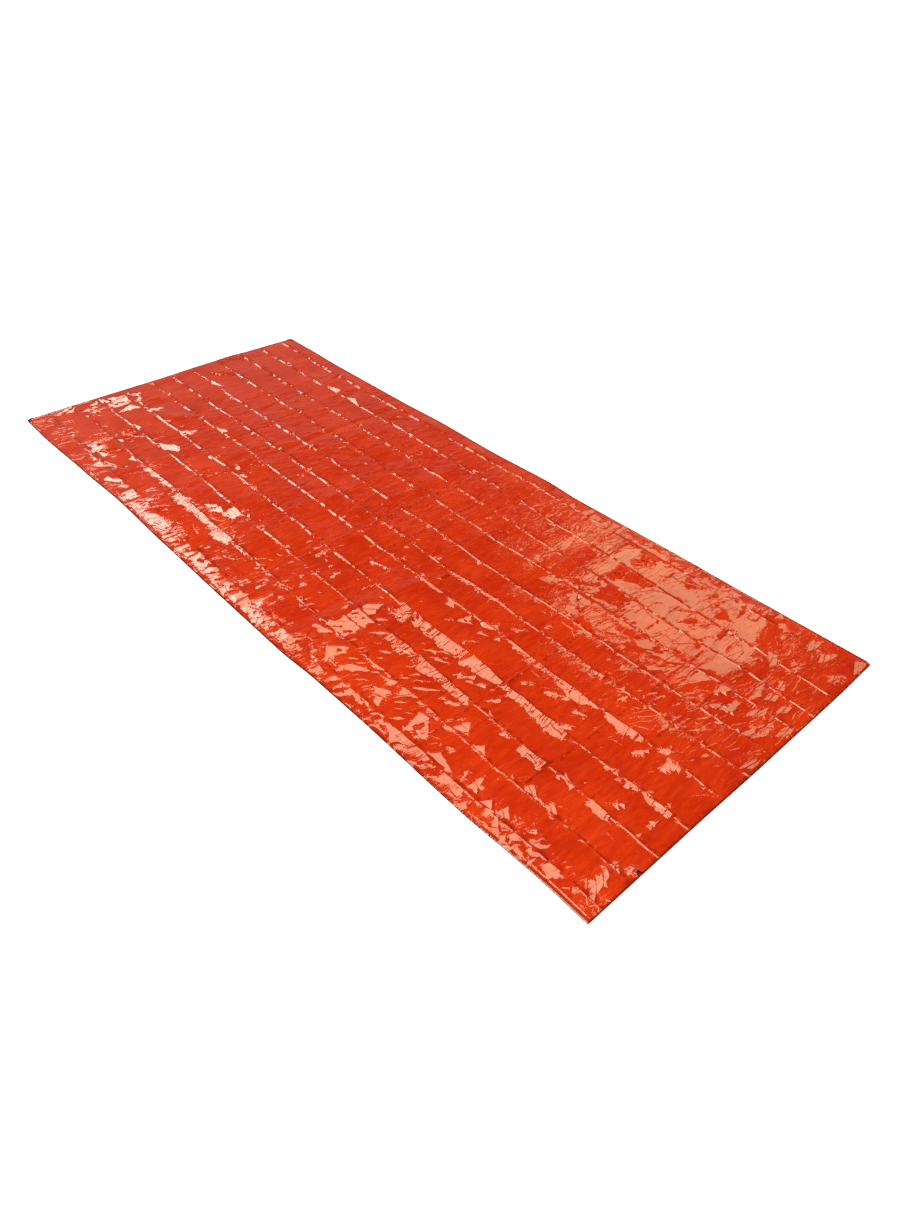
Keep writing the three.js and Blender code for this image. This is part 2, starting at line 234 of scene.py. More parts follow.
# Rows of facets along a crease: its number, side, start and end along, least and most step, least and most
# reach, and what they face
FRINGES = [
    (0, -1, 330, 540, 20, 50, 8, 24, ("back", "dark")),
    (0, -1, 540, 900, 7, 14, 30, 46, ("back", "back", "back", "dark")),
    (0, -1, 900, 1320, 8, 22, 16, 42, ("back", "back", "dark")),
    (0, -1, 1400, 1590, 10, 28, 10, 32, ("left", "dark")),
    (0, -1, 1590, 1668, 9, 20, 16, 32, ("left", "left", "dark")),
    (0, -1, 1715, 1950, 9, 22, 14, 34, ("left", "dark")),
    (0, -1, 1950, 2060, 12, 34, 12, 30, ("left", "dark", "dark")),
    (1, -1, 1400, 1700, 14, 44, 8, 30, ("left",)),
    (4, -1, 1330, 1600, 30, 80, 6, 20, ("left",)),
    (10, 1, 1330, 1480, 10, 26, 18, 40, ("right",)),
    (10, 1, 1730, 1960, 10, 30, 14, 36, ("right", "dark")),
]
# Half a facet's length as a share of the step, how far its tip slants, and the share that are turned
FRINGE_HALF = 0.65
FRINGE_SLANT = 1.2
FRINGE_TURNED = 0.35

# Slender leaves: their part of the bag, how many, shortest and longest, least and most width, turn in degrees
# and how much it strays, and what they face
LEAVES = [
    (50, 285, 1352, 1690, 120, 22, 76, 4, 11, 40, 16, ("left", "left", "left", "dark")),
    (50, 290, 1352, 1720, 220, 9, 34, 2, 4.5, 40, 20, ("left", "left", "dark")),
    (3, 36, 1380, 1720, 40, 12, 32, 3, 8, 20, 25, ("left", "left", "dark")),
    (3, 60, 1720, 2060, 45, 12, 34, 3, 9, 15, 30, ("left", "left", "dark")),
    (290, 450, 1330, 2080, 40, 14, 44, 4, 9, 35, 30, ("left", "right", "dark")),
    (45, 285, 1690, 2110, 26, 12, 34, 3, 8, 30, 40, ("left", "dark")),
    (60, 880, 860, 1440, 420, 12, 52, 2.5, 6, 6, 12, ("veil", "veil", "dark")),
    (40, 300, 1000, 1300, 60, 10, 34, 2.5, 5, 10, 20, ("back", "left", "dark")),
    (460, 620, 1300, 2100, 36, 14, 46, 4, 9, 25, 25, ("right", "right", "dark")),
    (620, 900, 1960, 2120, 24, 14, 44, 3, 8, 10, 25, ("right", "right", "dark")),
    (620, 900, 1330, 1480, 30, 14, 50, 4, 10, -10, 20, ("right", "dark")),
    (868, 905, 1440, 1960, 60, 12, 34, 3, 7, 8, 15, ("right", "right", "dark")),
    (60, 880, 300, 940, 260, 14, 60, 3, 7, 3, 8, ("dark", "dark", "veil")),
    (600, 862, 1480, 1910, 70, 14, 56, 2.5, 6, 12, 35, ("dark",)),
]
LEAF_BELLY = 0.5

# Small facets strewn beside the creases: start and end along, how many at each, smallest and largest, and
# what they face
STREWN = [
    (40, 1000, 12, 4, 11, ("back", "dark", "back")),
    (1000, 1400, 8, 4, 12, ("back", "left", "dark", "right")),
    (1400, 2100, 16, 4, 14, ("left", "right", "dark", "left")),
]
# Their clearance from a broken crest's middle and from a steady crest's foot, and how far their tip slants
STREWN_CLEAR = 1.5
STREWN_STEADY = 2.0
STREWN_SLANT = 2.0

# Fine ridges across a panel: start and end along, how many, shortest and longest, half width, largest rise
RIDGES = [
    (20, 520, 420, 14, 60, 6.5, 0.34), (520, 1050, 900, 14, 70, 5.0, 0.5),
    (1050, 1450, 700, 14, 66, 5.0, 0.5), (1450, 2110, 700, 12, 50, 6.5, 0.42),
]
RIDGE_SLANT = 0.2
RIDGE_RISES = (-0.5, 1.0)

# Crumpled film: unevenness far from the creases and beside them, by the foot and by the mouth, and its reach
CRUMPLE_PLAIN = (0.02, 0.04)
CRUMPLE_BESIDE = (0.06, 0.15)
CRUMPLE_REACH = (12.0, 22.0)

# Facets: step between their points, shortest side, unevenness, how ragged the outline is, where the inner
# points lie, the margin of ground they take and their clearance from the film's edge
FACET_STEP = 8.0
FACET_SHORTEST = 0.1
FACET_STRAY = 0.07
FACET_RAGGED = 0.07
FACET_INNER = (0.4, 0.6)
FACET_MARGIN = 2.0
EDGE_CLEAR = 3.0
# How far a facet may sink, how tall it may be before it is cut in strips, the gap between these, and where
# its low side with painted shade begins, as a share of its height
FACET_SINK = 0.5
FACET_TALLEST = 3.5
STRIP_GAP = 1.4
FACET_LOW = 0.2
# How much a lean may stray, and the lean of a dark facet and of one that mirrors the pale horizon
LEAN_STRAY = 0.012
DARK_LEAN = 0.085
VEIL_LEAN = -0.06

# How much painted shade the film's colour gets in the foot of a crest, at the low side of a facet and in a
# pinch of a band
SHADE_AT_FOOT = 0.6
SHADE_AT_LOW_SIDE = 0.2
SHADE_IN_PINCH = 0.4

# Points of the plain film: spacing across and along, how much they stray as a share of it, and their
# clearance from a crest, as a share of its half width, and from the weld and the mouth
PLAIN_SPACING = (12.0, 4.4)
BACK_SPACING = (22.0, 15.0)
PLAIN_STRAY = (0.4, 0.35)
PLAIN_CLEAR = 1.3
WELD_CLEAR = 3.0
BORDER_STEP = (7.2, 10.8)
# Points nearer than this are one point
SAME_POINT = 0.01
# Size of a cell in the map of the ground that facets have taken
CELL = 1.0

# The weld along the long sides and the foot: its place in from the edge, half width and depth, and the width
# beside it over which the film comes up, as (place along, rise)
WELD_BAND = 9.0
WELD_HALF = 1.5
WELD_DEPTH = 0.35
WELD_FADE = 26.0
WELD_RISES = [(0, 0.2), (420, 0.3), (600, 1.0), (1500, 1.0), (1680, 0.3), (2130, 0.2)]
# The film's rolled edge: its width, drop, depth of the rim, and where the painted shade line along the edge
# fades
EDGE_HALF = 2.2
EDGE_DROP = 0.75
RIM_DROP = 0.3
EDGE_SHADE_FADE = (0.5, 4.2)

# Height of the plain front film, its lowest, and the angle from which a fold is shaded sharp
FILM_BASE = 2.3
FILM_LOWEST = 1.5
SHARP_ANGLE = math.radians(9.0)

# The back film on the ground: height, lowest and highest, and the share of the front film's folds that it has
BACK_BASE = 0.45
BACK_LIMITS = (0.05, 0.95)
BACK_SHARE = 0.4

# A small pleat in the mouth's edge: place across, half width, how far it draws back, and rise; its length as
# a multiple of how far it draws back
NOTCH = (132.0, 8.0, 12.0, 5.0)
NOTCH_LENGTH = 3.0

# Seeds of the random draws
SEEDS = {"panels": 207, "bands": 557, "facets": 597, "fringes": 607, "leaves": 657, "strewn": 707,
         "creases": 807, "cross folds": 907, "ridges": 1007, "border": 1107, "plain": 1207}

# Camera, at the photo's viewing angle
PHOTO_SENSOR = 36.0
PHOTO_LENS = 25.97
EYE = Vector((-1.13114, -1.44004, 1.24708))
AIM = Vector((-0.10432, -0.36444, 0.0))
ROLL = math.radians(1.98)

# Distant lights that the film doesn't mirror: strength, and spread, elevation and azimuth in degrees
FILL = (2.82, 120.0, 90.0, 0.0)
RAKING_FILL = (1.1, 12.0, 34.0, 125.0)
# A lamp over the half by the mouth: strength, size, and place across, along and above the film
NEAR_FILL = 26.0
NEAR_FILL_SIZE = 2.5
NEAR_FILL_PLACE = (455.0, 1500.0, 2.5)

# Upright softboxes round the bag: bearing, from the mouth towards the right long side, and spread in degrees
SIDE_BOXES = [(72, 12), (37, 15), (-5, 12), (-48, 16), (-98, 14), (-146, 12)]
SIDE_DISTANCE = 5.0
SIDE_HEIGHTS = (1.0, 2.7)
SIDE_RADIANCE = 1.8
SIDE_COLOUR = (0.78, 1.0, 0.78)

# Level softboxes: the part of the flat film that would mirror it to the camera, height, radiance and colour
SOFTBOXES = {
    "overhead": ((-700, -330, 1960, 2500), 3.4, 10.0, (0.7, 1.0, 0.75)),
    "right": ((590, 930, 1470, 1930), 2.0, 3.2, (0.64, 1.0, 0.58)),
    "left": ((-300, -80, 1200, 2330), 3.0, 6.2, (0.64, 1.0, 0.66)),
    "back": ((-290, -85, 430, 1260), 3.2, 9.8, (0.62, 1.0, 0.84)),
}
# Uneven cloth of a softbox: scale and detail of its noise, and the ranges of the noise and the brightness
CLOTH = (5.0, 4.0)
CLOTH_RANGE = (0.3, 0.7, 0.55, 1.25)

# The studio that the film mirrors: level by height, tint, the noise and the range of its clouds, the
# direction beyond the bag, and how it dims on the other side
SKY_LEVELS = [(0.0, 0.02), (0.14, 0.28), (0.25, 0.43), (0.37, 0.32), (0.50, 0.19), (0.53, 0.03), (1.0, 0.02)]
SKY_TINT = (1.0, 0.92, 0.76)
CLOUDS = (16.0, 3.0)
CLOUD_RANGE = (0.45, 0.75, 0.0, 0.17)
BEYOND = (0.62, 0.79, 0.0)
BEYOND_RANGE = (-0.25, 0.2, 0.2, 1.0)
WHITE = (1.0, 1.0, 1.0, 1.0)
FLOOR_REACH = 40.0
FLOOR_LOOKS = {"Base Color": (0.6, 0.6, 0.6, 1.0), "Roughness": 0.9, "Emission Color": WHITE,
               "Emission Strength": 0.9}

# The film's gloss, its colours along its painted shading, and the colour of its painted shade
FILM_GLOSS = {"Metallic": 0.15, "Roughness": 0.3, "Specular IOR Level": 0.0, "Coat Weight": 1.0,
              "Coat Roughness": 0.02, "Coat IOR": 1.55}
FILM_SHADING_TONES = [(0.13, (0.47, 0.017, 0.0009)), (0.39, (0.67, 0.042, 0.0026))]
PAINTED_SHADE_COLOUR = (0.12, 0.006, 0.0004, 1.0)
# Painted shading of the film's undulations and wrinkles: the noise of its clouds and streaks and how much
# each counts. Thin lines of painted shade along wrinkles: noises and half widths, and the noise and depth of
# their patches
SHADING_CLOUDS = (7.0, 0.3)
SHADING_STREAKS = ((14.0, 70.0), 0.22)
SHADE_LINES = [((10.0, 46.0), 0.09), ((18.0, 80.0), 0.07)]
SHADE_LINE_PATCHES = (11.0, 0.17)
# How the net of the fine folds is bent: the noise's scale and reach
BEND = (14.0, 0.022)
# Ripples: noise across and along, rise; the noise of their patches and the range of their strength
RIPPLES = [((14.0, 64.0), 0.0018), ((24.0, 130.0), 0.0010)]
RIPPLE_PATCHES = 9.0
RIPPLE_RANGE = (0.42, 0.62, 0.15, 1.0)
# Fine facets: turn in degrees, cells in a metre across and along, slope, and how rare the steep ones are
FINE_FACETS = (-8.0, (20.0, 34.0), 0.04, 2.0)
# Hairlines: cells in a metre across and along, half width, slope; the noise that breaks them off
HAIRLINES = [((20.0, 62.0), 0.0009, 0.11), ((16.0, 30.0), 0.0016, 0.12)]
HAIRLINE_BREAKS = 14.0

# The black tabs: gloss, the noise of their grain, its colours and its depth
TAB_GLOSS = {"Roughness": 0.6, "Specular IOR Level": 0.1}
TAB_GRAIN = 900.0
TAB_TONES = [(0.0, (0.008, 0.007, 0.006)), (1.0, (0.022, 0.019, 0.016))]
TAB_DEPTH = 0.0002


def smooth(value, start, end):
    """A smooth step from 0 to 1 as value goes from start to end."""
    t = np.clip((value - start) / (end - start), 0.0, 1.0)
    return t * t * (3.0 - 2.0 * t)


def between(pair, share):
    """What lies some share of the way from the first of a pair to the second."""
    return pair[0] * (1.0 - share) + pair[1] * share


def draws(name):
    return np.random.default_rng(SEEDS[name])


# Knots of a random line: spare ones, how many lie before its start, and the steps of a broken line
SPARE_KNOTS = 12
WANDER_BEFORE = 2.0
JAG_BEFORE = 3.0
JAG_STEPS = (0.45, 1.55)


def wander(places, step, seed):
    """A smooth random line between -1 and 1 with a new value at every step."""
    knots = np.random.default_rng(seed).uniform(-1.0, 1.0, int(LENGTH / step) + SPARE_KNOTS)
    where = np.asarray(places) / step + WANDER_BEFORE
    low = np.clip(np.floor(where).astype(int), 0, len(knots) - 2)
    return between((knots[low], knots[low + 1]), smooth(where - low, 0.0, 1.0))


def jag(places, step, seed):
    """A broken straight line between -1 and 1 with uneven knots."""
    rng = np.random.default_rng(seed)
    knots = np.cumsum(rng.uniform(*JAG_STEPS, int(LENGTH / step) + SPARE_KNOTS) * step) - JAG_BEFORE * step
    return np.interp(places, knots, rng.uniform(-1.0, 1.0, len(knots)))


# Random lines: kind, how much, step and seed
LINES = {
    "crease sway": (jag, 1.7, 26.0, 27),
    "crease drift": (wander, 1.4, 120.0, 47),
    "crest breaks": (jag, 1.0, 46.0, 67),
    "crest nicks": (jag, 0.15, 16.0, 87),
    "left foot": (jag, 0.25, 30.0, 507),
    "right foot": (jag, 0.25, 24.0, 527),
    "weld": (jag, 0.9, 34.0, 97),
    "cross fold": (wander, 2.2, 55.0, 117),
    "cross rise": (wander, 0.6, 70.0, 137),
    "band width": (jag, 0.6, 36.0, 567),
    "band slant": (wander, 0.45, 90.0, 577),
}


def line_value(name, places, index=0):
    """Value of a random line at some places; each index is a line of its own."""
    kind, amount, step, seed = LINES[name]
    return amount * kind(places, step, seed + index)


def uneven_steps(rng, start, end, steps):
    """Places from start to end with an uneven step between the least and the most."""
    places = [start]
    while places[-1] < end:
        places.append(places[-1] + rng.uniform(*steps))
    return np.array(places[:-1] + [end])


def three_point(foot, half, mouth, along):
    """A gentle curve through its values at the foot, half way and the mouth."""
    t = along / LENGTH
    return foot * (1 - t) * (1 - 2 * t) + half * 4 * t * (1 - t) + mouth * t * (2 * t - 1)


def crease_at(index, along):
    """Place across of a crease, with its own small wander."""
    sway = line_value("crease sway", along, index) + line_value("crease drift", along, index)
    return three_point(*CREASES[index][:3], along) + sway


def crest_width(along):
    """Half width of the crests, wide by the foot and narrow by the mouth."""
    return between(CREST_WIDTHS, smooth(along, *CREST_NARROWS))


# The panels' edges: the left long side, the creases and the right long side, at even places along the bag
EDGE_ROWS = np.linspace(0.0, LENGTH, PANEL_ROWS)
PANEL_EDGES = [np.zeros(PANEL_ROWS), *(crease_at(i, EDGE_ROWS) for i in range(len(CREASES))),
               np.full(PANEL_ROWS, WIDTH)]


def panel_edges_at(along):
    """Places across of all panel edges at some places along, one row for each place."""
    return np.stack([np.interp(along, EDGE_ROWS, edge) for edge in PANEL_EDGES], axis=-1)


def calm_share(across, along, parts=CALM):
    """Share of the unevenness that is left in the calmer parts."""
    share = np.ones_like(across)
    for left, right, far, near, least in parts:
        out = np.maximum(np.maximum(left - across, across - right), np.maximum(far - along, along - near))
        share = np.minimum(share, between((least, 1.0), smooth(out, -CALM_FADE / 2.0, CALM_FADE / 2.0)))
    return share


def panel_relief(across, along):
    """The panels between the creases: each cell of the packet's grid is a little tilted and bulged."""
    rng = draws("panels")
    edges = panel_edges_at(along)
    count = int((LENGTH - LATTICE_START) / LATTICE_STEP) + 3
    knots = rng.uniform(-LATTICE_RISE, LATTICE_RISE, (count, edges.shape[1]))
    swells = rng.uniform(*LATTICE_BULGES, (count, edges.shape[1] - 1))
    where = (along - LATTICE_START) / LATTICE_STEP + 1.0
    low = np.clip(np.floor(where).astype(int), 0, count - 2)
    panel = np.clip((across[:, None] >= edges).sum(axis=1) - 1, 0, len(CREASES))
    each = np.arange(len(across))
    t = (across - edges[each, panel]) / (edges[each, panel + 1] - edges[each, panel])
    left, right, swell = (between((values[low, column], values[low + 1, column]), where - low)
                          for values, column in ((knots, panel), (knots, panel + 1), (swells, panel)))
    return calm_share(across, along) * (between((left, right), t) + 4.0 * t * (1.0 - t) * swell)


def soft_relief(across, along):
    """Broad rounded folds."""
    relief = np.zeros_like(across)
    for x0, y0, x1, y1, half, rise in SOFT_FOLDS:
        dx, dy = x1 - x0, y1 - y0
        t = np.clip(((across - x0) * dx + (along - y0) * dy) / (dx * dx + dy * dy), 0.0, 1.0)
        distance = np.hypot(across - x0 - t * dx, along - y0 - t * dy)
        relief += rise * (1.0 - smooth(distance, 0.0, half))
    return relief


def base_height(places):
    """Height of the plain film above the surface, without its creases and facets."""
    across, along = np.asarray(places, float).reshape(-1, 2).T
    inside = np.minimum(np.minimum(across, WIDTH - across), along)
    free = smooth(inside, WELD_BAND, WELD_BAND + WELD_FADE)
    rise = np.interp(along, *np.transpose(WELD_RISES)) * (1.0 + line_value("weld", along))
    return FILM_BASE + free * (rise + panel_relief(across, along) + soft_relief(across, along))


def on_plain_floor(across, along, height=0.0):
    """A point of the plain rectangle in metres, in the camera's coordinates."""
    return Vector(((across - WIDTH / 2.0) * MM, (LENGTH / 2.0 - along) * MM, height))


def softbox_corners(name):
    """Two opposite corners of a softbox, in the camera's coordinates."""
    (left, right, far, near), height = SOFTBOXES[name][:2]
    corners = []
    for across, along in ((left, near), (right, far)):
        corner = EYE + (on_plain_floor(across, along) - EYE) * (EYE.z + height) / EYE.z
        corner.z = height
        corners.append(corner)
    return corners


def lean_to(facing, place):
    """Slopes across and along of a facet that faces half way between the camera and a softbox's middle."""
    point = on_plain_floor(*place)
    if facing in ("dark", "veil"):
        towards = EYE - point
        towards.z = 0.0
        towards.normalize()
        return np.array((-towards.x, towards.y)) * (DARK_LEAN if facing == "dark" else VEIL_LEAN)
    low, high = softbox_corners(facing)
    normal = (EYE - point).normalized() + ((low + high) / 2.0 - point).normalized()
    return np.array((-normal.x / normal.z, normal.y / normal.z))


def crest_slope(across, along):
    """Slope of a crest's left flank that mirrors the back softbox, and by the mouth the left one."""
    x = (across - WIDTH / 2.0) * MM
    ahead = x - EYE.x
    slopes = []
    for name in ("back", "left"):
        low, high = softbox_corners(name)
        aside = (low.x + high.x) / 2.0 - x
        slopes.append((low.z * ahead - aside * EYE.z) / (2.0 * (low.z * EYE.z + aside * ahead)))
    return between(slopes, smooth(along, *CREST_TURNS))


def cut(corners, direction, limit):
    """The part of a polygon that lies on the near side of a line."""
    kept = []
    for here, after in zip(corners, np.roll(corners, -1, axis=0)):
        a, b = here @ direction - limit, after @ direction - limit
        if a <= 0.0:
            kept.append(here)
        if a * b < 0.0:
            kept.append(here + (after - here) * a / (a - b))
    return np.array(kept)


def is_among(parts, crease, along):
    """Whether some places along a crease are in one of its listed parts."""
    rows = [(start, end) for index, start, end in parts if index == crease]
    return np.any([(along > start) & (along < end) for start, end in rows], axis=0) if rows else along < 0.0


class Sheet:
    """Points of a film, with their rise and painted shade, its kept edges and the ground that is taken."""

    def __init__(self):
        self.places, self.rises, self.darks, self.edges = [], [], [], []
        self.crisp = set()
        self.taken = np.zeros((int(LENGTH / CELL) + 2, int(WIDTH / CELL) + 2), bool)

    def add(self, place, rise, dark=0.0):
        self.places.append((float(place[0]), float(place[1])))
        self.rises.append(float(rise))
        self.darks.append(float(dark))
        return len(self.places) - 1

    def join(self, here, after, crisp=False):
        """An edge that the triangles keep; a crisp one is never shaded smooth."""
        if crisp:
            self.crisp.add(len(self.edges))
        self.edges.append((here, after))

    def is_taken(self, place):
        across, along = np.clip(place, 0.0, (WIDTH, LENGTH)) / CELL
        return self.taken[int(along), int(across)]

    def claim(self, corners, margin, always=False):
        """Takes the ground of a polygon and a margin round it, and says no if part of it is taken already."""
        low = np.maximum(((corners.min(axis=0) - margin) / CELL).astype(int), 0)
        high = ((corners.max(axis=0) + margin) / CELL).astype(int) + 2
        ground = self.taken[low[1]:high[1], low[0]:high[0]]
        rows, columns = np.mgrid[:ground.shape[0], :ground.shape[1]]
        across, along = (columns + low[0]) * CELL, (rows + low[1]) * CELL
        after = np.roll(corners, -1, axis=0)
        turn = np.sign(np.sum(corners[:, 0] * after[:, 1] - after[:, 0] * corners[:, 1]))
        inside = np.ones(ground.shape, bool)
        for (u0, v0), (u1, v1) in zip(corners, after):
            away = ((u1 - u0) * (along - v0) - (v1 - v0) * (across - u0)) / math.hypot(u1 - u0, v1 - v0)
            inside &= turn * away > -margin
        if ground[inside].any() and not always:
            return False
        ground |= inside
        return True

    def facet(self, corners, lean, rng, crisp=False):
        """A facet with its slopes across and along, in strips if it would stand too tall."""
        corners = np.clip(np.array(corners, float), EDGE_CLEAR, (WIDTH - EDGE_CLEAR, LENGTH - EDGE_CLEAR))
        if not self.claim(corners, FACET_MARGIN):
            return
        heights = corners @ lean
        count = math.ceil(np.ptp(heights) / FACET_TALLEST)
        limits = np.linspace(heights.min(), heights.max(), count + 1)
        gap = STRIP_GAP / 2.0 * np.hypot(*lean) if count > 1 else 0.0
        for low, high in zip(limits, limits[1:]):
            strip = cut(cut(corners, lean, high - gap), -lean, -low - gap) if count > 1 else corners
            if len(strip) > 2:
                self.strip(strip, lean, rng, crisp)

    def strip(self, corners, lean, rng, crisp):
        """One strip of a facet, its outline ragged and its face a little uneven."""
        outline = []
        ragged = FACET_RAGGED * min(np.ptp(corners, axis=0))
        for here, after in zip(corners, np.roll(corners, -1, axis=0)):
            length = max(np.hypot(*(after - here)), FACET_SHORTEST)
            count = max(int(length / FACET_STEP), 1)
            side = np.array((here[1] - after[1], after[0] - here[0])) / length
            outline.append(here)
            for share in np.arange(1, count) / count:
                outline.append(here + (after - here) * share + side * rng.uniform(-ragged, ragged))
        middle = corners.mean(axis=0)
        inner = [middle + (place - middle) * rng.uniform(*FACET_INNER) for place in outline[::2]]
        places = np.array(outline + inner)
        slants = (places - middle) @ lean
        rises = slants + base_height(middle) - base_height(places)
        rises += rng.uniform(-FACET_STRAY, FACET_STRAY, len(rises)) - min(rises.min() + FACET_SINK, 0.0)
        first = len(self.places)
        count = len(outline)
        # The outline on the facet's low side gets painted shade.
        low = slants < -FACET_LOW * np.ptp(corners @ lean)
        for i, (place, rise) in enumerate(zip(places, rises)):
            self.add(place, rise, SHADE_AT_LOW_SIDE if low[i] and i < count else 0.0)
        for i in range(count):
            self.join(first + i, first + (i + 1) % count, crisp)

    def chain(self, crest, rises, feet, crisp):
        """A crest with a foot on each side, broken off where the ground is taken."""
        last = None
        for place, rise, sides, sharp in zip(crest, rises, feet, crisp):
            if self.is_taken(place):
                last = None
                continue
            here = self.add(place, rise)
            # The right foot of a crest gets painted shade.
            for foot, dark in zip(sides, (0.0, SHADE_AT_FOOT)):
                if not self.is_taken(foot):
                    self.add(foot, 0.0, dark)
            if last is not None:
                self.join(last, here, sharp)
            last = here


def add_bands(sheet):
    rng = draws("bands")
    for number, (crease, start, end, least, most, facing) in enumerate(BANDS):
        along = uneven_steps(rng, start, end, BAND_STEP)
        line = crease_at(crease, along)
        share = BAND_WIDTH[0] + line_value("band width", along, number)
        share += BAND_WIDTH[1] * rng.uniform(-1.0, 1.0, len(along))
        width = np.minimum(between((least, most), np.clip(share, 0.0, 1.0)), line - EDGE_CLEAR)
        slope = abs(lean_to(facing, (line.mean(), along.mean()))[0])
        rises = slope * width * rng.uniform(*BAND_RISE, len(along))
        pinched = np.flatnonzero(rng.uniform(size=len(along) - 2) < BAND_PINCH) + 1
        width = np.concatenate([width, width[pinched], width[pinched]])
        rises = np.concatenate([rises, rises[pinched], rises[pinched]])
        rises[pinched] *= BAND_PINCHED
        along = np.concatenate([along, along[pinched] - PINCH_HALF, along[pinched] + PINCH_HALF])
        order = np.argsort(along)
        along, width, rises = along[order], width[order], rises[order]
        line = crease_at(crease, along)
        last = None
        for u, v, w, rise in zip(line, along, width, rises):
            # A pinch that stays low gets painted shade, and so do the band's points beside it.
            dark = SHADE_IN_PINCH if rise < PINCH_SHADED_BELOW * slope * w else 0.0
            here = sheet.add((u, v), rise, dark)
            slant = line_value("band slant", v, crease) * w
            for part in BAND_ROWS:
                lift = rng.uniform(-BAND_STRAY, BAND_STRAY) + rng.choice(BAND_DENTS)
                sheet.add((u - w * part, v + slant * part), rise * (1.0 - part) + lift, dark)
            ragged = rng.uniform(-1.0, 1.0) * min(BAND_RAGGED[0], BAND_RAGGED[1] * w)
            # The band's low edge and the crest's right foot get painted shade.
            foot = sheet.add((u - (w + ragged), v + slant), -slope * ragged, SHADE_AT_LOW_SIDE)
            sheet.add((u + CREST_WIDTHS[1], v), 0.0, SHADE_AT_FOOT)
            if last is not None:
                sheet.join(last[0], here)
                sheet.join(last[1], foot)
            last = (here, foot)
        claim_rows(sheet, line + BAND_BEYOND, line - width, along, range(len(along) - 1), BAND_MARGIN)


def claim_rows(sheet, start, end, along, rows, margin):
    """Takes the ground between some rows and the next, each row from its start to its end across."""
    starts, ends = np.stack([start, along], axis=-1), np.stack([end, along], axis=-1)
    for i in rows:
        sheet.claim(np.array([starts[i], starts[i + 1], ends[i + 1], ends[i]]), margin, True)


def add_placed_facets(sheet):
    rng = draws("facets")
    for facing, shapes in FACETS:
        for shape in shapes:
            corners = np.reshape(shape, (-1, 2))
            sheet.facet(corners, lean_to(facing, corners.mean(axis=0)), rng, True)


def add_fringes(sheet):
    rng = draws("fringes")
    for crease, side, start, end, least, most, near, far, facings in FRINGES:
        for spot in uneven_steps(rng, start, end, (least, most)):
            length = FRINGE_HALF * rng.uniform(least, most)
            reach = side * rng.uniform(near, far)
            line = [crease_at(crease, np.array([spot + shift]))[0] for shift in (-length, length)]
            tip = (line[0] + reach, spot + rng.uniform(-FRINGE_SLANT, FRINGE_SLANT) * length)
            corners = [(line[0] + side, spot - length), (line[1] + side, spot + length), tip]
            if rng.uniform() < FRINGE_TURNED:
                corners = [(2.0 * line[0] + reach - u, v) for u, v in corners]
            stray = rng.uniform(-LEAN_STRAY, LEAN_STRAY, 2)
            sheet.facet(corners, lean_to(rng.choice(facings), tip) + stray, rng)


def add_leaves(sheet):
    rng = draws("leaves")
    for left, right, far, near, count, shortest, longest, least, most, turn, stray, facings in LEAVES:
        for _ in range(count):
            middle = np.array((rng.uniform(left, right), rng.uniform(far, near)))
            angle = math.radians(turn + rng.uniform(-stray, stray))
            ahead = np.array((math.cos(angle), math.sin(angle)))
            side = np.array((-ahead[1], ahead[0]))
            ahead *= 0.5 * rng.uniform(shortest, longest)
            side *= 0.5 * rng.uniform(least, most)
            belly = middle + ahead * rng.uniform(-LEAF_BELLY, LEAF_BELLY)
            corners = [middle - ahead, belly - side, middle + ahead, belly + side]
            lean = lean_to(rng.choice(facings), middle) + rng.uniform(-LEAN_STRAY, LEAN_STRAY, 2)
            sheet.facet(corners, lean, rng, True)


def add_strewn_facets(sheet):
    rng = draws("strewn")
    for start, end, count, smallest, largest, facings in STREWN:
        for crease in np.repeat(np.arange(len(CREASES)), count):
            spot = rng.uniform(start, end)
            length = 0.5 * rng.uniform(smallest, largest)
            reach = rng.choice((-1.0, 1.0)) * rng.uniform(smallest, largest)
            steady = is_among(STEADY, crease, np.array(spot))
            clear = crest_width(spot) + STREWN_STEADY if steady else STREWN_CLEAR
            line = crease_at(crease, np.array([spot]))[0] + clear * np.sign(reach)
            tip = (line + reach, spot + rng.uniform(-STREWN_SLANT, STREWN_SLANT) * length)
            corners = [(line, spot - length), (line, spot + length), tip]
            stray = rng.uniform(-LEAN_STRAY, LEAN_STRAY, 2)
            sheet.facet(corners, lean_to(rng.choice(facings), tip) + stray, rng)


def add_creases(sheet, share=1.0):
    rng = draws("creases")
    for index, crease in enumerate(CREASES):
        along = uneven_steps(rng, *CREASE_ENDS, CREASE_STEP)
        line = crease_at(index, along)
        width = crest_width(along)
        steady = is_among(STEADY, index, along)
        uneven = np.where(steady, STEADY_SHARE, 1.0)
        left = line - width * (1.0 + uneven * line_value("left foot", along, index))
        right = line + width * (CREST_RIGHT + line_value("right foot", along, index))
        broken = uneven * between(CREST_BREAKS, smooth(along, *CREST_NARROWS))
        broken = 1.0 + broken * line_value("crest breaks", along, index)
        broken = np.clip(broken + line_value("crest nicks", along, index), *CREST_LIMITS)
        rises = three_point(*crease[3:], along) * crest_slope(line, along) * width * broken
        rises = np.where(is_among(STEEP, index, along), STEEP_SCALE * rises, rises)
        feet = [((a, v), (b, v)) for a, b, v in zip(left, right, along)]
        sheet.chain(np.stack([line, along], axis=-1), share * rises, feet, steady)
        claim_rows(sheet, left, right, along, np.flatnonzero(steady[:-1]), CREASE_MARGIN)


